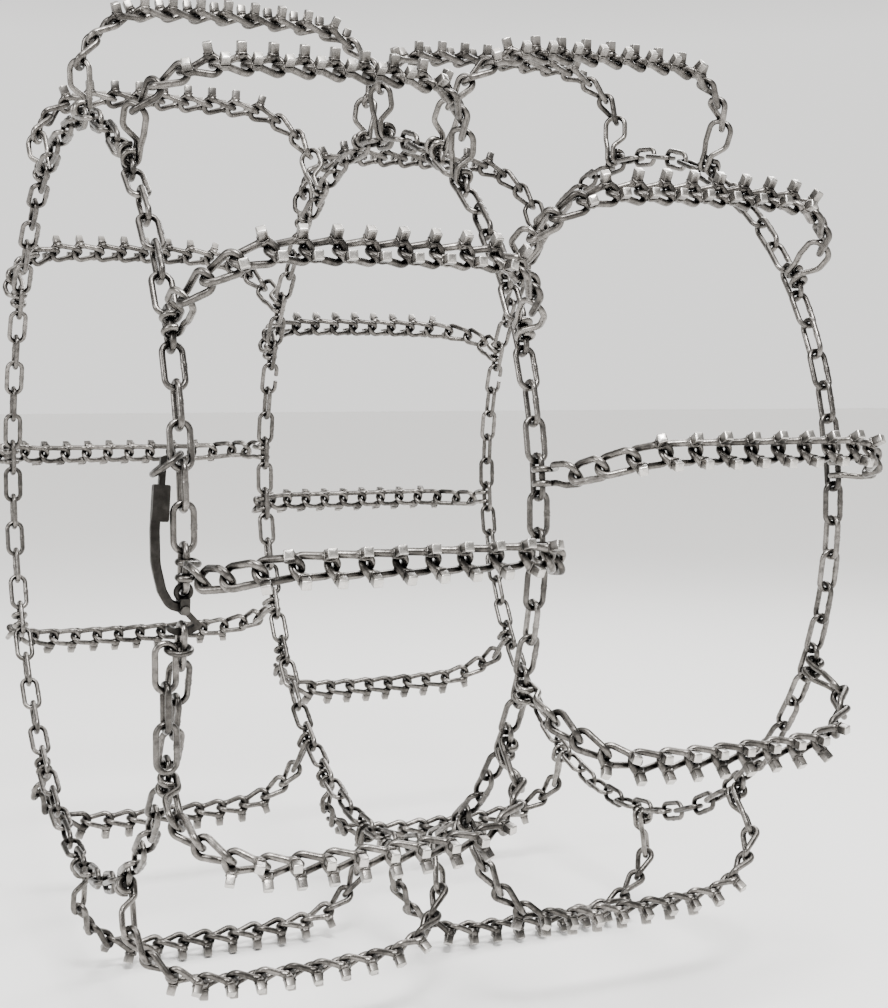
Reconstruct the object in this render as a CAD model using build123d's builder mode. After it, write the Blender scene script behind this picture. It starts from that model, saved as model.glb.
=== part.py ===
from build123d import *

import os
from math import cos, radians, sin

# Tyre chain set for a pair of truck drive tyres, in the shape it takes when worn.
# The wheel axis is Y, +Z is up, and the origin is on the wheel axis in the plane of the
# centre rail, midway between the two tyres. The outer rail is on the -Y side.
# An angle round the wheel is measured from +Z towards +X.

# --- driving dimensions, millimetres and degrees -------------------------------------------

RAIL_LINKS = 72  # link places round one rail
LINKS_PER_CROSS = 6  # rail link places from one cross chain to the next
RAIL_RADIUS = 420.5  # wheel axis to the centre line of a rail
RAIL_OFFSET = 358.0  # centre rail to either side rail, along the axis
RAIL_WIRE = 6.0
RAIL_LINK_WIDTH = 19.0  # centre to centre of a rail link's long sides
RAIL_BEND = 9.3
RAIL_PLAY = 0.6  # free play between two joined links

CROSS_CHAINS = 12  # on each tyre
FIRST_ANGLE = 4.5  # first cross chain of the outer tyre
INNER_SHIFT_LINKS = 4  # the inner tyre's cross chains are this many rail links further round
TYRE_OFFSET = 184.0  # centre rail to a tyre's mid plane
TREAD_RADIUS = 542.0  # wheel axis to the middle of a cross chain on the tread
CROSS_PITCH = 31.2
CROSS_WIRE = 7.0
CROSS_WIDTH = 24.0  # centre to centre of a cross link's corners
CROSS_TWIST = 40.0  # turn of each end of a cross link out of its mean plane
CROSS_BEND = 9.2
CROSS_PLAY = 1.1
CROWN_SLOPES = (1.0, 2.0, 5.0)  # slope of the barred links on either side of the middle one
SHOULDER_BENDS = (0.8, 1.85, 2.9)  # how the bend builds up over the next three links

BAR_SIDE = 9.0  # square traction bar
BAR_LEAN = 20.0  # bar away from the tread's normal
BAR_SHIFT = 11.2  # bar from the middle of its link, along the chain
BAR_ROOT = 3.0  # how far the bar reaches below the wire's centre
BAR_HEIGHT = 18.0  # bar tip above the link's mean plane
BAR_EDGE = 0.8

HOOK_WIRE = 6.5
HOOK_LENGTH = 48.8  # gripped rail wire to the seat in the hook's eye
HOOK_PRONGS = 14.0  # centre to centre of the two prongs
HOOK_PLAY = 1.3  # between a prong and the rail wire it wraps
HOOK_EYE = 26.0  # centre to centre across the eye
HOOK_NECK = 13.0  # straight part of a prong before it spreads to the eye
HOOK_THROAT = 26.0  # gripped rail wire to where the eye is full width
HOOK_WRAP = 90.0  # how far past its outboard side a prong turns round the rail wire
HOOK_TAIL = 3.2  # straight end of a prong after that

# How far each cross chain has crept round the tread from the line between its hooks, degrees.
OUTER_CREEP = (-0.8, 2.0, -1.7, -2.0, 0.3, -0.8, 1.0, -0.6, 0.5, -1.2, 0.9, 0.2)
INNER_CREEP = (0.3, -0.8, -1.6, 1.7, 1.8, -0.5, 1.1, -1.0, 0.6, -0.7, 1.2, -0.4)
SHOULDER_CREEP = (0.75, 0.3, 0.0)  # share of the creep left at the three shoulder joints

FASTENER_PLACE = 19  # rail link place that the lever fastener takes on the outer rail
KEEPER_PLACE = 15  # rail link that the keeper ring hangs in
RAIL_HOOK_PLACE = 57  # rail link place of the closing hook on the other two rails
FORK_RING_BEND = 6.5
FORK_RING_WIRE = 5.5
FORK_LENGTH = 15.4  # rail wire in the fork's ring to the lever's pin
EAR_INSIDE = 4.4  # middle of the fork to the inside of an ear
EAR_THICKNESS = 4.0
PIN_DIAMETER = 5.0
PIN_HEAD = 8.4
LEVER_THICKNESS = 7.6  # along the pin
LEVER_WIDTH = 8.5
LEVER_EYE = 11.4
CLAW_BEND = 22.2  # pin to the middle of the claw
CLAW_WIDTH = 5.5
CLAW_THICKNESS = 6.0
LEVER_GRIP = 15.5  # width of the lever's grip
LEVER_TIP = 5.6  # width of its tip, inside the keeper ring
KEEPER_BEND = 15.5
KEEPER_WIRE = 6.0
KEEPER_SHIFT = 7.8  # from the middle of its rail link to where the keeper ring passes through
KEEPER_TILT = 35.0  # keeper ring out of square to the rail
SPARE_PLACE = 20  # rail link that the gathering ring and the spare end of the rail hang from
SPARE_LINKS = 3
SPARE_AXIAL = -16.5
SPARE_RADIAL = 7.5
GATHER_BEND = 11.0
GATHER_WIRE = 5.5

# --- worked out from them ------------------------------------------------------------------

STEP = 360 / RAIL_LINKS
RAIL_PITCH = 2 * RAIL_RADIUS * sin(radians(STEP / 2))
RAIL_HALF = (RAIL_PITCH + RAIL_WIRE + RAIL_PLAY) / 2  # middle of a rail link to its end wire
CROSS_HALF = (CROSS_PITCH + CROSS_WIRE + CROSS_PLAY) / 2
CROSS_X = CROSS_WIDTH / 2 * cos(radians(CROSS_TWIST))
CROSS_Z = CROSS_WIDTH / 2 * sin(radians(CROSS_TWIST))
GRIP_RADIUS = RAIL_RADIUS + RAIL_LINK_WIDTH / 2  # wheel axis to the rail wire the hooks grip
AXIAL = Vector(0, 1, 0)


def radial(angle):
    return Vector(sin(radians(angle)), 0, cos(radians(angle)))


def tangent(angle):
    return Vector(cos(radians(angle)), 0, -sin(radians(angle)))


def wheel_point(axial, radius, angle):
    return AXIAL * axial + radial(angle) * radius


def place_angle(place):
    return FIRST_ANGLE + STEP * place


def bent_wire(corners, bends, wire):
    """Add a round wire to the part: straight runs, with each corner bent to a radius."""
    with BuildLine() as path:
        FilletPolyline(*corners, radius=bends)
    with BuildSketch(Plane(origin=path.wire() @ 0, z_dir=path.wire() % 0)) as section:
        Circle(wire / 2)
    sweep(sections=section.sketch, path=path.wire())


def wire_loop(corners, bend, wire):
    """Add a closed wire link, as two halves that meet in the middle of its long sides."""
    first, second, third, fourth = (Vector(*corner) for corner in corners)
    start = (first + second) / 2
    middle = (third + fourth) / 2
    bent_wire([start, second, third, middle], bend, wire)
    bent_wire([middle, fourth, first, start], bend, wire)


def rail_location(place, axial):
    """Where a rail link lies: even places stand on edge, odd places lie flat on the tyre."""
    origin = wheel_point(axial, RAIL_RADIUS, place_angle(place))
    if place % 2:
        return Plane(origin=origin, x_dir=AXIAL, z_dir=radial(place_angle(place)) * -1).location
    return Plane(origin=origin, x_dir=radial(place_angle(place)), z_dir=AXIAL).location


def lying(start, end, outward, origin):
    """Location of a link or hook whose y runs from start to end and whose z faces outward."""
    along = (end - start).normalized()
    across = along.cross(outward).normalized()
    return Plane(origin=origin, x_dir=across, z_dir=across.cross(along)).location


def joint_points(side, rail_axial, tyre_axial, angle, creep):
    """Joint points of half a cross chain, from the middle link's end out to the rail wire.

    side is -1 towards the outer rail and 1 towards the inner rail. The bend over the shoulder
    is the one that brings the end of the last link a hook's length from the rail wire.
    """
    grip = wheel_point(rail_axial, GRIP_RADIUS, angle)
    shares = (1.0,) * len(CROWN_SLOPES) + SHOULDER_CREEP
    low, high = 5.0, 30.0
    while high - low > 1e-6:
        bend = (low + high) / 2
        slopes = CROWN_SLOPES + tuple(CROWN_SLOPES[-1] + bend * part for part in SHOULDER_BENDS)
        axial = CROSS_PITCH / 2
        radius = TREAD_RADIUS
        joints = [wheel_point(tyre_axial + side * axial, radius, angle + creep)]
        for slope, share in zip(slopes, shares):
            axial += CROSS_PITCH * cos(radians(slope))
            radius -= CROSS_PITCH * sin(radians(slope))
            aim = wheel_point(tyre_axial + side * axial, radius, angle + creep * share)
            joints.append(joints[-1] + (aim - joints[-1]).normalized() * CROSS_PITCH)
        if (joints[-1] - grip).length > HOOK_LENGTH:
            low = bend
        else:
            high = bend
    return joints + [grip]


def cross_locations(angle, tyre_axial, near_rail, far_rail, creep):
    """Locations of the barred links, the plain links and the hooks of one cross chain."""
    near = joint_points(-1, near_rail, tyre_axial, angle, creep)
    far = joint_points(1, far_rail, tyre_axial, angle, creep)
    joints = near[::-1] + far
    barred, plain = [], []
    for index in range(1, len(joints) - 2):
        start, end = joints[index : index + 2]
        on_tread = 3 <= index < len(joints) - 4
        outward = tangent(angle + creep * (1 if on_tread else 0.5)).cross(end - start)
        location = lying(start, end, outward, (start + end) / 2)
        (barred if on_tread else plain).append(location)
    near_hook = lying(near[-1], near[-2], tangent(angle).cross(near[-2] - near[-1]), near[-1])
    far_hook = lying(far[-1], far[-2], tangent(angle).cross(far[-1] - far[-2]), far[-1])
    return barred, plain, [near_hook, far_hook]


# --- pieces that repeat, each made once ----------------------------------------------------
# In a link's own frame y runs along the chain, x across it and z away from the tyre.

half_width = RAIL_LINK_WIDTH / 2

with BuildPart() as rail_link:
    wire_loop(
        [
            (half_width, -RAIL_HALF, 0),
            (half_width, RAIL_HALF, 0),
            (-half_width, RAIL_HALF, 0),
            (-half_width, -RAIL_HALF, 0),
        ],
        RAIL_BEND,
        RAIL_WIRE,
    )

# A rail link left open on one long side, where the free end of the rail is slipped in.
opening = RAIL_WIRE / 2 + 1
with BuildPart() as rail_hook:
    bent_wire(
        [
            (half_width, -opening, 0),
            (half_width, -RAIL_HALF, 0),
            (-half_width, -RAIL_HALF, 0),
            (-half_width, RAIL_HALF, 0),
            (half_width, RAIL_HALF, 0),
            (half_width, opening, 0),
        ],
        RAIL_BEND,
        RAIL_WIRE,
    )

# A link whose ends are turned opposite ways, so that a row of such links lies flat.
with BuildPart() as cross_link:
    wire_loop(
        [
            (CROSS_X, -CROSS_HALF, CROSS_Z),
            (CROSS_X, CROSS_HALF, -CROSS_Z),
            (-CROSS_X, CROSS_HALF, CROSS_Z),
            (-CROSS_X, -CROSS_HALF, -CROSS_Z),
        ],
        CROSS_BEND,
        CROSS_WIRE,
    )

# The square bar on the side where that side of the link stands highest.
bar_seat_z = CROSS_Z * BAR_SHIFT / CROSS_HALF
lean = Vector(sin(radians(BAR_LEAN)), 0, cos(radians(BAR_LEAN)))
bar_foot = Vector(CROSS_X, -BAR_SHIFT, bar_seat_z) - lean * BAR_ROOT
with BuildPart() as traction_bar:
    with BuildSketch(Plane(origin=bar_foot, x_dir=(0, 1, 0), z_dir=lean)):
        Rectangle(BAR_SIDE, BAR_SIDE)
    extrude(amount=(BAR_HEIGHT - bar_seat_z) / cos(radians(BAR_LEAN)) + BAR_ROOT)
    chamfer(faces().sort_by(Axis((0, 0, 0), lean))[-1].edges(), BAR_EDGE)

with BuildPart() as barred_link:
    add(cross_link.part)
    with PolarLocations(0, 2):
        add(traction_bar.part)

# A hairpin: its eye holds the last cross link and its two prongs wrap the rail wire. The
# origin is on the gripped rail wire, which runs along x, and y points at the eye.
wrap = (RAIL_WIRE + HOOK_WIRE) / 2 + HOOK_PLAY
prong = HOOK_PRONGS / 2
eye_end = HOOK_LENGTH + (CROSS_WIRE + HOOK_WIRE) / 4 + CROSS_PLAY / 2
eye_x = HOOK_EYE / 2 * cos(radians(CROSS_TWIST))
eye_z = HOOK_EYE / 2 * sin(radians(CROSS_TWIST))
with BuildPart() as cross_hook:
    bent_wire(
        [
            (-prong, 0, -wrap),
            (-prong, HOOK_NECK, -wrap),
            (-eye_x, HOOK_THROAT, eye_z),
            (-eye_x, eye_end, eye_z),
            (eye_x, eye_end, -eye_z),
            (eye_x, HOOK_THROAT, -eye_z),
            (prong, HOOK_NECK, -wrap),
            (prong, 0, -wrap),
        ],
        [8.0, 10.0, 11.0, 11.0, 10.0, 8.0],
        HOOK_WIRE,
    )
    for x in (-prong, prong):
        with BuildLine() as curl:
            back = ThreePointArc((x, 0, -wrap), (x, -wrap, 0), (x, 0, wrap))
            half_turn = radians(HOOK_WRAP / 2)
            over = ThreePointArc(
                back @ 1,
                (x, wrap * sin(half_turn), wrap * cos(half_turn)),
                (x, wrap * sin(2 * half_turn), wrap * cos(2 * half_turn)),
            )
            Line(over @ 1, over @ 1 + (over % 1) * HOOK_TAIL)
        with BuildSketch(Plane(origin=(x, 0, -wrap), z_dir=(0, 1, 0))):
            Circle(HOOK_WIRE / 2)
        sweep(path=curl.wire())

os.makedirs("parts", exist_ok=True)

# --- rails ---------------------------------------------------------------------------------

for name, axial, left_out in (
    ("outer_rail", -RAIL_OFFSET, FASTENER_PLACE),
    ("centre_rail", 0, RAIL_HOOK_PLACE),
    ("inner_rail", RAIL_OFFSET, RAIL_HOOK_PLACE),
):
    with BuildPart() as rail:
        with Locations(*(rail_location(n, axial) for n in range(RAIL_LINKS) if n != left_out)):
            add(rail_link.part)
    rail.part.label = name
    export_step(rail.part, f"parts/{name}.step", write_pcurves=False)

for name, axial in (("centre_rail_hook", 0), ("inner_rail_hook", RAIL_OFFSET)):
    with BuildPart() as closing_hook:
        with Locations(rail_location(RAIL_HOOK_PLACE, axial)):
            add(rail_hook.part)
    closing_hook.part.label = name
    export_step(closing_hook.part, f"parts/{name}.step", write_pcurves=False)

# --- cross chains --------------------------------------------------------------------------

for tyre, shift, tyre_axial, near_rail, far_rail, creeps in (
    ("outer", 0, -TYRE_OFFSET, -RAIL_OFFSET, 0, OUTER_CREEP),
    ("inner", INNER_SHIFT_LINKS, TYRE_OFFSET, 0, RAIL_OFFSET, INNER_CREEP),
):
    for number, creep in enumerate(creeps):
        angle = place_angle(LINKS_PER_CROSS * number + shift)
        barred, plain, ends = cross_locations(angle, tyre_axial, near_rail, far_rail, creep)
        with BuildPart() as links:
            with Locations(*barred):
                add(barred_link.part)
            with Locations(*plain):
                add(cross_link.part)
        links.part.label = f"{tyre}_cross_chain_{number + 1:02d}"
        export_step(links.part, f"parts/{links.part.label}.step", write_pcurves=False)
        with BuildPart() as hooks:
            with Locations(*ends):
                add(cross_hook.part)
        hooks.part.label = f"{tyre}_cross_hooks_{number + 1:02d}"
        export_step(hooks.part, f"parts/{hooks.part.label}.step", write_pcurves=False)

# --- lever fastener on the outer rail ------------------------------------------------------
# Its plane touches the rail's circle at the place of the missing link. There x runs along the
# rail, y runs towards the wheel and z is radial, along the lever's pin.

fastener_angle = place_angle(FASTENER_PLACE)
fastener = Plane(
    origin=wheel_point(-RAIL_OFFSET, RAIL_RADIUS, fastener_angle),
    x_dir=tangent(fastener_angle),
    z_dir=radial(fastener_angle),
)
link_end_x = -RAIL_RADIUS * sin(radians(STEP)) + RAIL_HALF * cos(radians(STEP))
link_end_z = RAIL_RADIUS * (cos(radians(STEP)) - 1) + RAIL_HALF * sin(radians(STEP))
pin_x = link_end_x + FORK_LENGTH
ear_outside = EAR_INSIDE + EAR_THICKNESS

with BuildPart(fastener) as lever_fork:
    with Locations((link_end_x, 0, link_end_z)):
        Torus(FORK_RING_BEND, FORK_RING_WIRE / 2)
    with Locations((link_end_x + FORK_RING_BEND + 0.4, 0, 0)):
        Box(4.2, 9.0, 2 * ear_outside)
    for level in (EAR_INSIDE, -ear_outside):
        with BuildSketch(fastener.offset(level)):
            with Locations((pin_x, 0)):
                Circle(4.5)
            with Locations((pin_x - 4.6, 0)):
                Rectangle(9.2, 9.0)
            with Locations((pin_x, 0)):
                Circle(PIN_DIAMETER / 2, mode=Mode.SUBTRACT)
        extrude(amount=EAR_THICKNESS)
lever_fork.part.label = "lever_fork"
export_step(lever_fork.part, "parts/lever_fork.step", write_pcurves=False)

with BuildPart(fastener) as lever_pin:
    with Locations((pin_x, 0, 0)):
        Cylinder(PIN_DIAMETER / 2, 2 * ear_outside)
    for side in (1, -1):
        with Locations((pin_x, 0, side * (ear_outside + 0.8))):
            Cylinder(PIN_HEAD / 2, 1.6)
lever_pin.part.label = "lever_pin"
export_step(lever_pin.part, "parts/lever_pin.step", write_pcurves=False)


def beside_rail(along, axial):
    """Point beside the outer rail, at a distance along it from the fastener's place."""
    angle = fastener_angle + along / radians(RAIL_RADIUS)
    return wheel_point(-RAIL_OFFSET + axial, RAIL_RADIUS, angle)


# The arm bows clear of the chain, widens into a grip with a step on its inner edge, and
# follows the rail's curve up to the tip that the keeper ring holds.
arm_points = [
    beside_rail(pin_x, 0),
    beside_rail(-4, -12.5),
    beside_rail(-17, -20),
    beside_rail(-42, -26),
    beside_rail(-74, -26.5),
    beside_rail(-112, -21.5),
]
grip_start, grip_end = beside_rail(-79, -22), beside_rail(-112, -19.2)
tip_end = beside_rail(-134, -16.5)
grip_plane = Plane(
    origin=(grip_start + grip_end) / 2,
    x_dir=grip_start - grip_end,
    z_dir=radial(fastener_angle - 12.8),
)
tip_plane = Plane(
    origin=(grip_end + tip_end) / 2,
    x_dir=grip_end - tip_end,
    z_dir=radial(fastener_angle - 16.8),
)
with BuildPart() as tension_lever:
    with BuildLine() as arm:
        FilletPolyline(*arm_points, radius=[12, 18, 45, 60])
    with BuildSketch(Plane(origin=arm.wire() @ 0, x_dir=radial(fastener_angle), z_dir=arm.wire() % 0)):
        RectangleRounded(LEVER_THICKNESS, LEVER_WIDTH, 1.5)
    sweep(path=arm.wire())
    with Locations(fastener):
        with Locations((pin_x, 0, 0)):
            Cylinder(LEVER_EYE / 2, LEVER_THICKNESS)
    with BuildSketch(fastener.offset(-CLAW_THICKNESS / 2)):
        with BuildLine():
            claw = CenterArc((pin_x, 0), CLAW_BEND, -32, 74)
        SlotArc(claw, CLAW_WIDTH)
        with Locations(Location(((claw @ 1).X / 2 + pin_x / 2, (claw @ 1).Y / 2, 0), (0, 0, 42))):
            Rectangle(CLAW_BEND, CLAW_WIDTH)
    extrude(amount=CLAW_THICKNESS)
    with BuildSketch(grip_plane.offset(-LEVER_THICKNESS / 2)):
        RectangleRounded((grip_start - grip_end).length, LEVER_GRIP, 2)
    extrude(amount=LEVER_THICKNESS)
    with BuildSketch(tip_plane.offset(-LEVER_TIP / 2)):
        RectangleRounded((grip_end - tip_end).length + 6, LEVER_TIP, 2)
    extrude(amount=LEVER_TIP)
    with Locations(Plane(origin=beside_rail(pin_x, 0), z_dir=radial(fastener_angle))):
        Hole(PIN_DIAMETER / 2 + 0.3)
tension_lever.part.label = "tension_lever"
export_step(tension_lever.part, "parts/tension_lever.step", write_pcurves=False)

# The keeper ring passes through its rail link, round that link's outboard side and the tip of
# the lever.
keeper_angle = place_angle(KEEPER_PLACE) + KEEPER_SHIFT / radians(RAIL_RADIUS)
keeper_pass = wheel_point(-RAIL_OFFSET - 1, RAIL_RADIUS, keeper_angle)
keeper_out = Vector(0, -cos(radians(KEEPER_TILT)), 0) + tangent(keeper_angle) * sin(radians(KEEPER_TILT))
with BuildPart() as keeper_ring:
    with Locations(
        Plane(
            origin=keeper_pass + keeper_out * KEEPER_BEND,
            x_dir=keeper_out,
            z_dir=keeper_out.cross(radial(keeper_angle)),
        )
    ):
        Torus(KEEPER_BEND, KEEPER_WIRE / 2)
keeper_ring.part.label = "keeper_ring"
export_step(keeper_ring.part, "parts/keeper_ring.step", write_pcurves=False)

# --- spare end of the outer rail -----------------------------------------------------------
# A ring through a rail link holds the spare links, which hang straight down beside the rail.

spare_angle = place_angle(SPARE_PLACE)
ring_centre = wheel_point(-RAIL_OFFSET - 4, RAIL_RADIUS + SPARE_RADIAL, spare_angle)
with BuildPart() as gather_ring:
    with Locations(Plane(origin=ring_centre, z_dir=tangent(spare_angle))):
        Torus(GATHER_BEND, GATHER_WIRE / 2)
gather_ring.part.label = "gather_ring"
export_step(gather_ring.part, "parts/gather_ring.step", write_pcurves=False)

spare_top = ring_centre + Vector(0, SPARE_AXIAL + 4, (GATHER_WIRE + RAIL_WIRE) / 2 + RAIL_PLAY)
spare_first = spare_top - Vector(0, 0, RAIL_HALF)
with BuildPart() as spare_rail_end:
    for link in range(SPARE_LINKS):
        middle = spare_first - Vector(0, 0, RAIL_PITCH * link)
        x_dir = (1, 0, 0) if link % 2 else (0, 1, 0)
        with Locations(Plane(origin=middle, x_dir=x_dir, z_dir=Vector(*x_dir).cross(Vector(0, 0, -1)))):
            add(rail_link.part)
spare_rail_end.part.label = "spare_rail_end"
export_step(spare_rail_end.part, "parts/spare_rail_end.step", write_pcurves=False)
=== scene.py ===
import math
import random

import bpy
import numpy as np
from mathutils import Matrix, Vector


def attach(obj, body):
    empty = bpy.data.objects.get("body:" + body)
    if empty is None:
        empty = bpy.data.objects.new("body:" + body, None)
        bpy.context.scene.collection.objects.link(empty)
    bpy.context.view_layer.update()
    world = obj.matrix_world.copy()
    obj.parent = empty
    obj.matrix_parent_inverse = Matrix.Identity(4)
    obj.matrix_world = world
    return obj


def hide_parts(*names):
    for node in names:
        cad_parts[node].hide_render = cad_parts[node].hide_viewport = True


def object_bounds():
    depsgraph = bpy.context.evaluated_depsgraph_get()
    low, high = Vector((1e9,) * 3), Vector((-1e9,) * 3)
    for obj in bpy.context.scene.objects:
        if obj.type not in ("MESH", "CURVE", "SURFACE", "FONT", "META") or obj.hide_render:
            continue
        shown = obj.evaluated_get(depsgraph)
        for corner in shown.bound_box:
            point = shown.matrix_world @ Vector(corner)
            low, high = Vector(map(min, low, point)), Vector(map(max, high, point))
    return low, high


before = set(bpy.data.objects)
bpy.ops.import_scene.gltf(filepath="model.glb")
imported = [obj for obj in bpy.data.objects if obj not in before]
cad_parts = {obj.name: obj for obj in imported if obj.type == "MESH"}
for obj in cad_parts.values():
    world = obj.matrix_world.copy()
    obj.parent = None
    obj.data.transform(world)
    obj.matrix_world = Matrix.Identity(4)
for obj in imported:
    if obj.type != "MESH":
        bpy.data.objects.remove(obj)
size_at_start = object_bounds()
random.seed(7)
rng = np.random.default_rng(7)

# --- sizes, in millimetres and degrees, as in the CAD model --------------------------------

RAIL_LINKS = 72
STEP = 5.0
RAIL_RADIUS = 420.5
RAIL_OFFSET = 358.0
RAIL_WIRE = 6.0
RAIL_HALF_WIDTH = 9.5
RAIL_BEND = 9.3
RAIL_PLAY = 0.6
FIRST_ANGLE = 4.5
TYRE_OFFSET = 184.0
TREAD_RADIUS = 542.0
CROSS_PITCH = 31.2
CROSS_WIRE = 7.0
CROSS_BEND = 9.2
CROSS_PLAY = 1.1
CROSS_HALF_WIDTH = 12.0
CROSS_TWIST = 40.0
CROWN_SLOPES = (1.0, 2.0, 5.0)
SHOULDER_BENDS = (0.8, 1.85, 2.9)
SHOULDER_CREEP = (0.75, 0.3, 0.0)
BAR_HALF_SIDE = 4.5
BAR_LEAN = 20.0
BAR_SHIFT = 11.2
BAR_HEIGHT = 18.0
HOOK_WIRE = 6.5
HOOK_LENGTH = 48.8
HOOK_WRAP = 90.0
HOOK_TAIL = 3.2
HOOK_NECK = 13.0
HOOK_PRONG = 7.0  # middle of the hook to the middle of a prong
HOOK_EYE = 13.0  # middle of the hook to the middle of its eye's wire
HOOK_THROAT = 26.0
HOOK_PLAY = 1.3
OUTER_CREEP = (-0.8, 2.0, -1.7, -2.0, 0.3, -0.8, 1.0, -0.6, 0.5, -1.2, 0.9, 0.2)
INNER_CREEP = (0.3, -0.8, -1.6, 1.7, 1.8, -0.5, 1.1, -1.0, 0.6, -0.7, 1.2, -0.4)
LINKS_PER_CROSS = 6
INNER_SHIFT_LINKS = 4  # the inner tyre's cross chains start this many rail links further round
FASTENER_PLACE = 19
RAIL_HOOK_PLACE = 57
SPARE_PLACE = 20
SPARE_LINKS = 3
GATHER_OFFSET = (-4.0, 7.5)  # middle of the gathering ring from the rail, axial and radial
SPARE_DROP = (-12.5, 6.35)  # end wire of the first spare link from there, axial and upward

RAIL_PITCH = 2 * RAIL_RADIUS * math.sin(math.radians(STEP / 2))
RAIL_HALF = (RAIL_PITCH + RAIL_WIRE + RAIL_PLAY) / 2
CROSS_HALF = (CROSS_PITCH + CROSS_WIRE + CROSS_PLAY) / 2
CROSS_X = CROSS_HALF_WIDTH * math.cos(math.radians(CROSS_TWIST))
CROSS_Z = CROSS_HALF_WIDTH * math.sin(math.radians(CROSS_TWIST))
GRIP_RADIUS = RAIL_RADIUS + RAIL_HALF_WIDTH
AXIAL = np.array([0.0, 1.0, 0.0])


def radial(angle):
    a = math.radians(angle)
    return np.array([math.sin(a), 0.0, math.cos(a)])


def tangent(angle):
    a = math.radians(angle)
    return np.array([math.cos(a), 0.0, -math.sin(a)])


def wheel_point(axial, radius, angle):
    return AXIAL * axial + radial(angle) * radius


def unit(v):
    v = np.asarray(v, float)
    return v / np.linalg.norm(v)


# --- mesh building -------------------------------------------------------------------------


class Shape:
    """Vertices and faces, with each vertex's wear and painted highlight and how light it is, before
    they are a mesh.
    """

    def __init__(self):
        self.verts, self.faces, self.worn, self.tone, self.count = [], [], [], [], 0

    def add(self, verts, faces, worn=0.0):
        verts = np.asarray(verts, float)
        self.verts.append(verts)
        self.worn.append(np.broadcast_to(np.asarray(worn, float), len(verts)))
        self.tone.append(np.zeros(len(verts)))
        self.faces.extend([tuple(i + self.count for i in face) for face in faces])
        self.count += len(verts)

    def placed(self, other, matrix, tone):
        verts = np.concatenate(other.verts)
        self.verts.append(verts @ matrix[:3, :3].T + matrix[:3, 3])
        self.worn.append(np.concatenate(other.worn))
        self.tone.append(np.full(len(verts), tone, float))
        self.faces.extend([tuple(i + self.count for i in face) for face in other.faces])
        self.count += len(verts)

    def object(self, name, material):
        mesh = bpy.data.meshes.new(name)
        mesh.from_pydata((np.concatenate(self.verts) / 1000).tolist(), [], self.faces)
        for label, values in (("tone", self.tone), ("worn", self.worn)):
            attribute = mesh.attributes.new(label, "FLOAT", "POINT")
            attribute.data.foreach_set("value", np.concatenate(values).astype(np.float32))
        mesh.shade_smooth()
        mesh.materials.append(material)
        mesh.validate()
        obj = bpy.data.objects.new(name, mesh)
        bpy.context.scene.collection.objects.link(obj)
        return obj


def bent(corners, bends, closed=False, turn=9.0, run=5.0):
    """Points along straight runs whose corners are bent to a radius."""
    corners = [np.asarray(c, float) for c in corners]
    if closed:
        start = (corners[0] + corners[-1]) / 2
        corners = [start] + corners + [start]
    inner = len(corners) - 2
    bends = list(bends) if isinstance(bends, (list, tuple)) else [bends] * inner
    points = [corners[0]]
    for k in range(inner):
        before, here, after = corners[k], corners[k + 1], corners[k + 2]
        a, b = unit(here - before), unit(after - here)
        angle = math.acos(max(-1.0, min(1.0, float(a @ b))))
        reach = bends[k] * math.tan(angle / 2)
        enter = here - a * reach
        span = enter - points[-1]
        steps = max(1, round(np.linalg.norm(span) / run))
        last = points[-1]
        points += [last + span * (i / steps) for i in range(1, steps + 1)]
        centre = here + unit(b - a) * (bends[k] / math.cos(angle / 2))
        u = enter - centre
        w = np.cross(unit(np.cross(a, b)), u)
        count = max(2, math.ceil(math.degrees(angle) / turn))
        for i in range(1, count + 1):
            t = angle * i / count
            points.append(centre + u * math.cos(t) + w * math.sin(t))
    span = corners[-1] - points[-1]
    steps = max(1, round(np.linalg.norm(span) / run))
    last = points[-1]
    points += [last + span * (i / steps) for i in range(1, steps + 1)]
    return points[:-1] if closed else points


def frames(points, closed):
    """A side direction at each point that doesn't twist along the path."""
    count = len(points)
    if closed:
        along = [unit(points[(i + 1) % count] - points[i - 1]) for i in range(count)]
    else:
        along = [unit(points[min(i + 1, count - 1)] - points[max(i - 1, 0)]) for i in range(count)]
    helper = np.eye(3)[int(np.argmin(np.abs(along[0])))]
    side = [unit(np.cross(along[0], helper))]
    for i in range(1, count):
        v = side[-1] - along[i] * (side[-1] @ along[i])
        side.append(unit(v))
    if closed:
        v = unit(side[-1] - along[0] * (side[-1] @ along[0]))
        miss = math.atan2(float(np.cross(v, side[0]) @ along[0]), float(v @ side[0]))
        for i in range(count):
            t = miss * i / count
            n = np.cross(along[i], side[i])
            side[i] = side[i] * math.cos(t) + n * math.sin(t)
    return along, side


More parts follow.
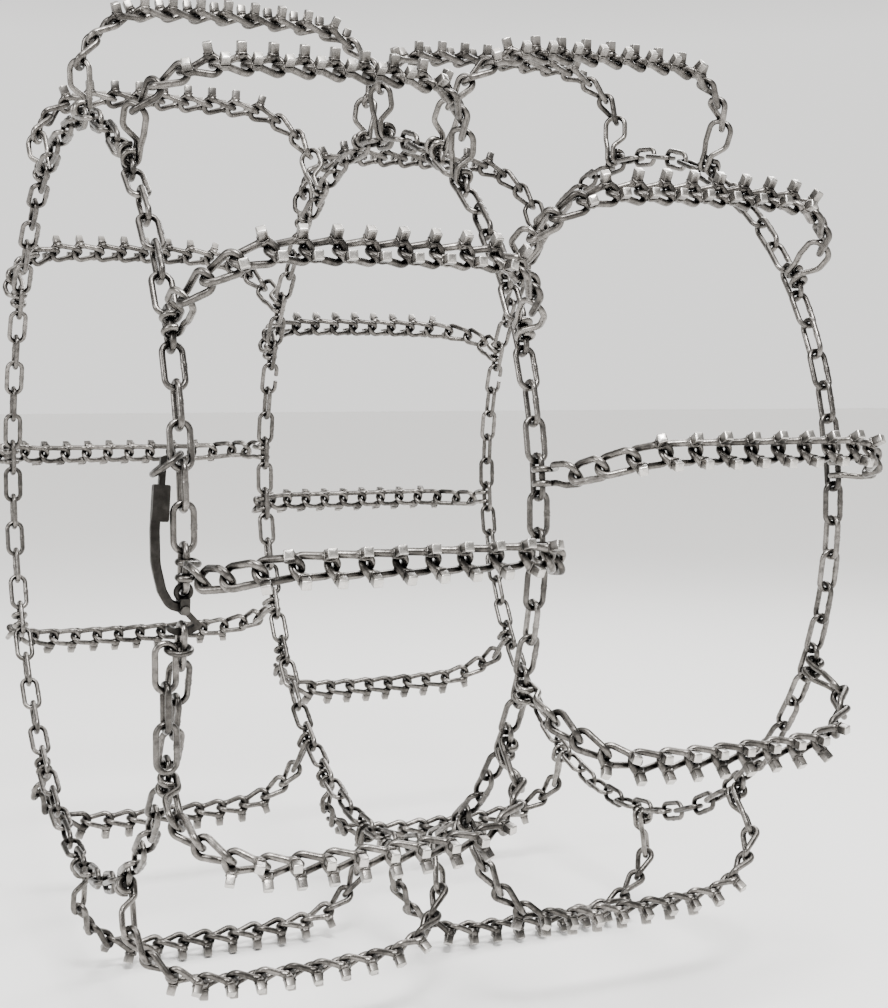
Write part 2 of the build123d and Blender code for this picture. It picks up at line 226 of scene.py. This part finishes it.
def tube(shape, points, radii, sides=18, closed=False, end_edge=0.0):
    """A round wire along the points, with its ends cut flat and their edges broken."""
    points = [np.asarray(p, float) for p in points]
    if np.isscalar(radii):
        radii = [radii] * len(points)
    along, side = frames(points, closed)
    rings, sizes, lead, aside = list(points), list(radii), list(along), list(side)
    if not closed:
        rings = [points[0], points[0] + along[0] * end_edge] + rings[1:-1]
        rings += [points[-1] - along[-1] * end_edge, points[-1]]
        sizes = [radii[0] - end_edge, radii[0]] + sizes[1:-1] + [radii[-1], radii[-1] - end_edge]
        lead = [along[0]] + lead[:-1] + [along[-1], along[-1]]
        aside = [side[0]] + aside[:-1] + [side[-1], side[-1]]
    verts = []
    for p, r, a, s in zip(rings, sizes, lead, aside):
        n = np.cross(a, s)
        for k in range(sides):
            t = 2 * math.pi * k / sides
            verts.append(p + s * (r * math.cos(t)) + n * (r * math.sin(t)))
    faces = []
    count = len(rings)
    for i in range(count if closed else count - 1):
        j = (i + 1) % count
        for k in range(sides):
            m = (k + 1) % sides
            faces.append((i * sides + k, i * sides + m, j * sides + m, j * sides + k))
    if not closed:
        faces.append(tuple(range(sides - 1, -1, -1)))
        faces.append(tuple((count - 1) * sides + k for k in range(sides)))
    shape.add(verts, faces)


def lengths(points, closed):
    """Distance along the path to each point, and the whole length."""
    count = len(points)
    out = [0.0]
    for i in range(1, count):
        out.append(out[-1] + float(np.linalg.norm(points[i] - points[i - 1])))
    total = out[-1] + (float(np.linalg.norm(points[0] - points[-1])) if closed else 0.0)
    return out, total


def rounded_square(half, edge, steps=3):
    """Outline of a square with broken corners."""
    ring = []
    for quarter in range(4):
        cx, cy = ((1, 1), (-1, 1), (-1, -1), (1, -1))[quarter]
        for i in range(steps + 1):
            t = math.radians(90 * quarter + 90 * i / steps)
            ring.append(
                (cx * (half - edge) + edge * math.cos(t), cy * (half - edge) + edge * math.sin(t))
            )
    return ring


def square_bar(shape, foot, lean, across, length, half):
    """A square bar with broken edges and a slightly domed end."""
    n = np.cross(lean, across)
    verts, faces = [], []
    levels = (
        (0.0, 0.0),
        (length * 0.5, 0.0),
        (length - 1.5, 0.05),
        (length - 0.85, 0.14),
        (length - 0.3, 0.5),
        (length - 0.02, 1.15),
    )
    for height, inset in levels:
        for x, y in rounded_square(half - inset, max(0.9 - inset * 0.3, 0.4)):
            verts.append(foot + lean * height + across * x + n * y)
    per = len(verts) // len(levels)
    for i in range(len(levels) - 1):
        for k in range(per):
            m = (k + 1) % per
            faces.append((i * per + k, i * per + m, (i + 1) * per + m, (i + 1) * per + k))
    verts.append(foot + lean * length)
    top = (len(levels) - 1) * per
    faces += [(top + k, top + (k + 1) % per, len(verts) - 1) for k in range(per)]
    faces.append(tuple(range(per - 1, -1, -1)))
    # The tip is marked lighter: real wear, plus a painted highlight where the end face meets the
    # light.
    worn = np.repeat([0.0, 0.05, 0.35, 0.8, 1.0, 1.0], per)
    shape.add(verts, faces, np.append(worn, 1.0))


# --- the pieces, each made a few times with small differences ------------------------------


def rail_link_shape():
    """A rail link with the flash of its butt weld in the middle of one long side."""
    w, h = RAIL_HALF_WIDTH, RAIL_HALF
    corners = [(w, h, 0), (-w, h, 0), (-w, -h, 0), (w, -h, 0)]
    path = bent(corners, RAIL_BEND, closed=True, turn=10, run=1.6)
    at, total = lengths(path, True)
    radii = []
    for s in at:
        near = min(s, total - s)
        flash = 0.42 * math.exp(-(((near - 1.3) / 0.75) ** 2))
        flash += 0.10 * math.exp(-((near / 3.2) ** 2))
        radii.append(RAIL_WIRE / 2 + flash)
    shape = Shape()
    tube(shape, path, radii, closed=True)
    return shape


def rail_hook_shape():
    """A rail link left open on one long side."""
    w, h, gap = RAIL_HALF_WIDTH, RAIL_HALF, RAIL_WIRE / 2 + 1
    corners = [(w, -gap, 0), (w, -h, 0), (-w, -h, 0), (-w, h, 0), (w, h, 0), (w, gap, 0)]
    shape = Shape()
    tube(shape, bent(corners, RAIL_BEND, turn=10, run=3), RAIL_WIRE / 2, end_edge=0.5)
    return shape


def cross_link_shape(bars, variant):
    """A twisted link; a barred one has weld metal swollen round each bar's foot."""
    wobble = random.Random(variant)
    x, h, z = CROSS_X, CROSS_HALF, CROSS_Z
    corners = [(x, h, -z), (-x, h, z), (-x, -h, -z), (x, -h, z)]
    path = bent(corners, CROSS_BEND, closed=True, turn=9, run=1.5)
    seats = [np.array([side * x, -side * BAR_SHIFT, z * BAR_SHIFT / h]) for side in (1, -1)]
    radii = []
    for p in path:
        r = CROSS_WIRE / 2
        if bars:
            for seat in seats:
                d = float(np.linalg.norm(p - seat))
                r += 1.75 / (1 + (d / 4.3) ** 6) * (0.93 + 0.07 * math.sin(7 * d + variant))
        else:
            d = float(np.linalg.norm(p - np.array([x, 0, 0])))
            r += 0.35 * math.exp(-(((d - 0.9) / 0.8) ** 2))
        radii.append(r)
    shape = Shape()
    tube(shape, path, radii, closed=True)
    if bars:
        for side, seat in zip((1, -1), seats):
            lean_angle = math.radians(BAR_LEAN + wobble.uniform(-2.0, 2.0))
            lean = np.array([side * math.sin(lean_angle), 0.0, math.cos(lean_angle)])
            spin = math.radians(wobble.uniform(-4, 4))
            across = AXIAL * math.cos(spin) + np.cross(lean, AXIAL) * math.sin(spin)
            length = (BAR_HEIGHT - seat[2]) / math.cos(lean_angle) + 1.0
            square_bar(shape, seat - lean, lean, across, length, BAR_HALF_SIDE)
            ring = []
            beads = 22
            for k in range(beads):
                t = 2 * math.pi * k / beads
                c, s = math.cos(t), math.sin(t)
                size = 4.75 / max(abs(c), abs(s)) ** 0.72
                lift = 3.7 + 0.35 * math.sin(3 * t + variant) - 0.5 * abs(math.sin(t))
                around = across * (size * c) + np.cross(lean, across) * (size * s)
                ring.append(seat + lean * lift + around)
            fat = [0.95 + 0.22 * math.sin(10 * math.pi * k / beads + variant) for k in range(beads)]
            tube(shape, ring, fat, sides=8, closed=True)
    return shape


def hook_shape():
    """A hairpin whose eye holds the last cross link and whose prongs wrap the rail wire."""
    wrap = (RAIL_WIRE + HOOK_WIRE) / 2 + HOOK_PLAY
    ex = HOOK_EYE * math.cos(math.radians(CROSS_TWIST))
    ez = HOOK_EYE * math.sin(math.radians(CROSS_TWIST))
    end = HOOK_LENGTH + (CROSS_WIRE + HOOK_WIRE) / 4 + CROSS_PLAY / 2
    curl = []
    tip = math.radians(180 + HOOK_WRAP)
    for ahead in (HOOK_TAIL, HOOK_TAIL / 2):
        y = -wrap * math.sin(tip) - ahead * math.cos(tip)
        curl.append((y, -wrap * math.cos(tip) + ahead * math.sin(tip)))
    for i in range(23):
        t = tip * (1 - i / 22)
        curl.append((-wrap * math.sin(t), -wrap * math.cos(t)))
    corners = [
        (-HOOK_PRONG, 0, -wrap),
        (-HOOK_PRONG, HOOK_NECK, -wrap),
        (-ex, HOOK_THROAT, ez),
        (-ex, end, ez),
        (ex, end, -ez),
        (ex, HOOK_THROAT, -ez),
        (HOOK_PRONG, HOOK_NECK, -wrap),
        (HOOK_PRONG, 0, -wrap),
    ]
    body = bent(corners, [8, 10, 11, 11, 10, 8], turn=8, run=2.5)
    first = [np.array([-HOOK_PRONG, y, z]) for y, z in curl[:-1]]
    last = [np.array([HOOK_PRONG, y, z]) for y, z in reversed(curl[:-1])]
    shape = Shape()
    tube(shape, first + body + last, HOOK_WIRE / 2, end_edge=0.55)
    return shape


# --- where they lie ------------------------------------------------------------------------


def matrix(x, y, z, origin):
    m = np.eye(4)
    m[:3, 0], m[:3, 1], m[:3, 2], m[:3, 3] = x, y, z, origin
    return m


def rail_matrix(place, axial):
    """Even rail links stand on edge and odd ones lie flat on the tyre."""
    angle = FIRST_ANGLE + STEP * place
    origin = wheel_point(axial, RAIL_RADIUS, angle)
    x = AXIAL if place % 2 else radial(angle)
    z = -radial(angle) if place % 2 else AXIAL
    return matrix(x, np.cross(z, x), z, origin)


def lying(start, end, outward, origin):
    """Matrix of a link or hook whose y runs from start to end and whose z faces outward."""
    y = unit(end - start)
    x = unit(np.cross(y, outward))
    return matrix(x, y, np.cross(x, y), origin)


def joint_points(side, rail_axial, tyre_axial, angle, creep):
    """Joint points of half a cross chain, from the middle link's end out to the rail wire."""
    grip = wheel_point(rail_axial, GRIP_RADIUS, angle)
    shares = (1.0,) * 3 + SHOULDER_CREEP
    low, high = 5.0, 30.0
    while high - low > 1e-6:
        bend = (low + high) / 2
        slopes = CROWN_SLOPES + tuple(CROWN_SLOPES[-1] + bend * part for part in SHOULDER_BENDS)
        axial, radius = CROSS_PITCH / 2, TREAD_RADIUS
        joints = [wheel_point(tyre_axial + side * axial, radius, angle + creep)]
        for slope, share in zip(slopes, shares):
            axial += CROSS_PITCH * math.cos(math.radians(slope))
            radius -= CROSS_PITCH * math.sin(math.radians(slope))
            aim = wheel_point(tyre_axial + side * axial, radius, angle + creep * share)
            joints.append(joints[-1] + unit(aim - joints[-1]) * CROSS_PITCH)
        if np.linalg.norm(joints[-1] - grip) > HOOK_LENGTH:
            low = bend
        else:
            high = bend
    return joints + [grip]


def cross_places(angle, tyre_axial, near_rail, far_rail, creep):
    """Matrices of one cross chain's links, each with whether it carries bars, and its hooks."""
    near = joint_points(-1, near_rail, tyre_axial, angle, creep)
    far = joint_points(1, far_rail, tyre_axial, angle, creep)
    joints = near[::-1] + far
    links = []
    for index in range(1, len(joints) - 2):
        start, end = joints[index], joints[index + 1]
        on_tread = 3 <= index < len(joints) - 4
        outward = np.cross(tangent(angle + creep * (1 if on_tread else 0.5)), end - start)
        links.append((on_tread, lying(start, end, outward, (start + end) / 2)))
    t = tangent(angle)
    hooks = [
        lying(near[-1], near[-2], np.cross(t, near[-2] - near[-1]), near[-1]),
        lying(far[-1], far[-2], np.cross(t, far[-1] - far[-2]), far[-1]),
    ]
    return links, hooks


# --- materials -----------------------------------------------------------------------------


def steel(name, light, dark, rough, grime, bump=0.12):
    """Steel wire: cloudy plating, patchy dirt, painted shade in the crevices, bright wear with a
    painted highlight on the bar tips, and fine pitting.
    """
    mat = bpy.data.materials.new(name)
    mat.use_nodes = True
    tree = mat.node_tree
    nodes, links = tree.nodes, tree.links
    nodes.clear()
    out = nodes.new("ShaderNodeOutputMaterial")
    shader = nodes.new("ShaderNodeBsdfPrincipled")
    links.new(shader.outputs["BSDF"], out.inputs["Surface"])
    where = nodes.new("ShaderNodeTexCoord")
    tone = nodes.new("ShaderNodeAttribute")
    tone.attribute_name = "tone"
    worn = nodes.new("ShaderNodeAttribute")
    worn.attribute_name = "worn"

    def noise(size, detail, roughness=0.6):
        node = nodes.new("ShaderNodeTexNoise")
        node.inputs["Scale"].default_value = size
        node.inputs["Detail"].default_value = detail
        node.inputs["Roughness"].default_value = roughness
        links.new(where.outputs["Object"], node.inputs["Vector"])
        return node.outputs["Fac"]

    def ramp(value, stops):
        node = nodes.new("ShaderNodeValToRGB")
        while len(node.color_ramp.elements) < len(stops):
            node.color_ramp.elements.new(0.5)
        for element, (place, colour) in zip(node.color_ramp.elements, stops):
            element.position = place
            element.color = (*colour, 1)
        links.new(value, node.inputs["Fac"])
        return node.outputs["Color"]

    def maths(operation, a, b):
        node = nodes.new("ShaderNodeMath")
        node.operation = operation
        for socket, value in zip(node.inputs, (a, b)):
            if isinstance(value, (int, float)):
                socket.default_value = value
            else:
                links.new(value, socket)
        return node.outputs[0]

    def mix(factor, a, b, how="MIX"):
        node = nodes.new("ShaderNodeMix")
        node.data_type = "RGBA"
        node.blend_type = how
        for socket, value in ((node.inputs[0], factor), (node.inputs[6], a), (node.inputs[7], b)):
            if isinstance(value, (int, float)):
                socket.default_value = value
            elif isinstance(value, tuple):
                socket.default_value = (*value, 1)
            else:
                links.new(value, socket)
        return node.outputs[2]

    cloud = noise(55, 4)
    fine = noise(900, 5, 0.7)
    patch = noise(160, 6, 0.65)
    level = maths("ADD", maths("MULTIPLY", cloud, 0.65), maths("MULTIPLY", tone.outputs["Fac"], 0.35))
    wear = ramp(level, [(0.25, dark), (0.72, light)])
    dirt = ramp(patch, [(0.44, (0, 0, 0)), (0.66, (1, 1, 1))])
    dirty = mix(maths("MULTIPLY", dirt, grime), wear, tuple(c * 0.32 for c in dark))
    # Bar tips lightened towards pale steel: partly real wear, partly a painted highlight.
    rubbed_and_lit = maths("MULTIPLY", worn.outputs["Fac"], maths("ADD", 1.0, maths("MULTIPLY", patch, -0.45)))
    dirty = mix(rubbed_and_lit, dirty, (0.66, 0.635, 0.60))
    # Painted shade: ambient occlusion darkens the base colour in the crevices and where links touch.
    crevice_shade_ao = nodes.new("ShaderNodeAmbientOcclusion")
    crevice_shade_ao.inputs["Distance"].default_value = 0.012
    crevice_shade_ao.samples = 6
    shade = ramp(crevice_shade_ao.outputs["AO"], [(0.30, (0.08, 0.075, 0.07)), (0.90, (1, 1, 1))])
    colour = mix(1.0, dirty, shade, "MULTIPLY")
    links.new(colour, shader.inputs["Base Color"])
    shader.inputs["Metallic"].default_value = 1.0
    spread = maths("ADD", maths("MULTIPLY", patch, 0.34), maths("MULTIPLY", fine, 0.14))
    links.new(maths("ADD", spread, rough - 0.24), shader.inputs["Roughness"])
    relief = nodes.new("ShaderNodeBump")
    relief.inputs["Strength"].default_value = bump
    relief.inputs["Distance"].default_value = 0.0006
    links.new(maths("ADD", maths("MULTIPLY", fine, 0.5), patch), relief.inputs["Height"])
    links.new(relief.outputs["Normal"], shader.inputs["Normal"])
    return mat


rail_steel = steel("rail steel", (0.25, 0.235, 0.22), (0.06, 0.056, 0.052), 0.29, 0.6)
cross_steel = steel("cross chain steel", (0.24, 0.225, 0.21), (0.055, 0.051, 0.047), 0.30, 0.65)
hook_steel = steel("hook steel", (0.29, 0.273, 0.254), (0.075, 0.07, 0.064), 0.28, 0.5)
forged = steel("forged lever", (0.085, 0.08, 0.074), (0.025, 0.023, 0.021), 0.42, 0.5, bump=0.3)
pin_steel = steel("pin steel", (0.2, 0.19, 0.177), (0.06, 0.056, 0.052), 0.34, 0.4)

# --- build ---------------------------------------------------------------------------------

rail_shape = rail_link_shape()
closing_shape = rail_hook_shape()
barred_shapes = [cross_link_shape(True, v) for v in range(6)]
plain_shape = cross_link_shape(False, 1)
hook_piece = hook_shape()


def finish_piece(obj, body, slot_name, *nodes):
    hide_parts(*nodes)
    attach(obj, body)


for name, axial, left_out in (
    ("outer_rail", -RAIL_OFFSET, FASTENER_PLACE),
    ("centre_rail", 0.0, RAIL_HOOK_PLACE),
    ("inner_rail", RAIL_OFFSET, RAIL_HOOK_PLACE),
):
    shape = Shape()
    for place in range(RAIL_LINKS):
        if place != left_out:
            shape.placed(rail_shape, rail_matrix(place, axial), rng.uniform())
    finish_piece(shape.object("look_" + name, rail_steel), "side_rails", "rail_wire", name)
    if left_out == RAIL_HOOK_PLACE:
        shape = Shape()
        shape.placed(closing_shape, rail_matrix(left_out, axial), rng.uniform())
        node = name + "_hook"
        finish_piece(shape.object("look_" + node, rail_steel), "side_rails", "rail_wire", node)

for tyre, shift, tyre_axial, near_rail, far_rail, creeps in (
    ("outer", 0, -TYRE_OFFSET, -RAIL_OFFSET, 0.0, OUTER_CREEP),
    ("inner", INNER_SHIFT_LINKS, TYRE_OFFSET, 0.0, RAIL_OFFSET, INNER_CREEP),
):
    for number, creep in enumerate(creeps):
        angle = FIRST_ANGLE + STEP * (LINKS_PER_CROSS * number + shift)
        links, hooks = cross_places(angle, tyre_axial, near_rail, far_rail, creep)
        body = f"{tyre}_cross_{number + 1:02d}"
        shape = Shape()
        for barred, place in links:
            piece = barred_shapes[int(rng.integers(len(barred_shapes)))] if barred else plain_shape
            shape.placed(piece, place, rng.uniform())
        node = f"{tyre}_cross_chain_{number + 1:02d}"
        finish_piece(shape.object("look_" + node, cross_steel), body, "cross_chain_wire", node)
        shape = Shape()
        for place in hooks:
            shape.placed(hook_piece, place, rng.uniform())
        node = f"{tyre}_cross_hooks_{number + 1:02d}"
        finish_piece(shape.object("look_" + node, hook_steel), body, "hook_wire", node)

# The spare links hang straight down from the ring through the rail link below the lever.
spare_first = wheel_point(
    GATHER_OFFSET[0] - RAIL_OFFSET,
    GATHER_OFFSET[1] + RAIL_RADIUS,
    FIRST_ANGLE + STEP * SPARE_PLACE,
) + np.array([0.0, SPARE_DROP[0], SPARE_DROP[1] - RAIL_HALF])
shape = Shape()
for link in range(SPARE_LINKS):
    x = np.array([1.0, 0.0, 0.0]) if link % 2 else AXIAL
    z = np.cross(x, [0.0, 0.0, -1.0])
    place = matrix(x, np.cross(z, x), z, spare_first - np.array([0.0, 0.0, RAIL_PITCH * link]))
    shape.placed(rail_shape, place, rng.uniform())
spare_end = shape.object("look_spare_rail_end", rail_steel)
finish_piece(spare_end, "side_rails", "rail_wire", "spare_rail_end")

# The forged pieces keep their CAD shape, with their edges rounded over.
for node, material, slot_name, width in (
    ("lever_fork", forged, "forged_lever", 0.0009),
    ("tension_lever", forged, "forged_lever", 0.0012),
    ("lever_pin", pin_steel, "pin_steel", 0.0004),
    ("keeper_ring", rail_steel, "rail_wire", 0.0),
    ("gather_ring", rail_steel, "rail_wire", 0.0),
):
    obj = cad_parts[node]
    obj.data.materials.clear()
    obj.data.materials.append(material)
    for polygon in obj.data.polygons:
        polygon.use_smooth = True
    if width:
        bevel = obj.modifiers.new("rounded", "BEVEL")
        bevel.width = width
        bevel.segments = 3
        bevel.limit_method = "ANGLE"
        bevel.angle_limit = math.radians(35)
        bevel.harden_normals = False

# --- studio --------------------------------------------------------------------------------

lowest = size_at_start[0][2]
bpy.ops.mesh.primitive_plane_add(size=80, location=(0, 0, lowest - 0.0005))
floor = bpy.context.object
floor.name = "floor"
paper = bpy.data.materials.new("paper")
paper.use_nodes = True
sheet = paper.node_tree.nodes["Principled BSDF"]
sheet.inputs["Base Color"].default_value = (0.9, 0.893, 0.88, 1)
sheet.inputs["Roughness"].default_value = 0.85
floor.data.materials.append(paper)

world = bpy.data.worlds.new("studio")
bpy.context.scene.world = world
world.use_nodes = True
sky = world.node_tree.nodes["Background"]
facing = world.node_tree.nodes.new("ShaderNodeTexCoord")
height = world.node_tree.nodes.new("ShaderNodeSeparateXYZ")
fade = world.node_tree.nodes.new("ShaderNodeValToRGB")
fade.color_ramp.elements.new(0.5)
fade.color_ramp.elements.new(0.6)
levels = ((0.20, 1.0), (0.36, 0.18), (0.74, 0.18), (0.88, 2.3))
for element, (place, level) in zip(fade.color_ramp.elements, levels):
    element.position = place
    element.color = (level, level * 0.99, level * 0.97, 1)
world.node_tree.links.new(facing.outputs["Generated"], height.inputs["Vector"])
world.node_tree.links.new(height.outputs["Z"], fade.inputs["Fac"])
world.node_tree.links.new(fade.outputs["Color"], sky.inputs["Color"])
sky.inputs["Strength"].default_value = 1.45


def area(name, place, size, power):
    light = bpy.data.lights.new(name, "AREA")
    light.shape = "RECTANGLE"
    light.size, light.size_y = size
    light.energy = power
    obj = bpy.data.objects.new(name, light)
    bpy.context.scene.collection.objects.link(obj)
    obj.location = place
    obj.rotation_euler = (Vector((0, 0, 0)) - Vector(place)).to_track_quat("-Z", "Y").to_euler()
    return obj


lights = [
    area("key", (2.0, -0.4, 2.6), (1.1, 0.8), 190),
    area("fill", (1.0, -3.0, 1.4), (1.2, 1.2), 60),
    area("rim", (-1.8, 1.8, 2.2), (1.6, 1.2), 90),
]

lens = bpy.data.cameras.new("camera")
lens.sensor_fit = "HORIZONTAL"
lens.sensor_width = 36
lens.lens = 66.51
lens.clip_start = 0.05
camera = bpy.data.objects.new("camera", lens)
bpy.context.scene.collection.objects.link(camera)
camera.location = (1.8419, -0.7581, 0.1290)
az = math.radians(65.23)
el = math.radians(4.10)
back = Vector((math.sin(az) * math.cos(el), -math.cos(az) * math.cos(el), math.sin(el)))
camera.rotation_euler = back.to_track_quat("Z", "Y").to_euler()
bpy.context.scene.camera = camera
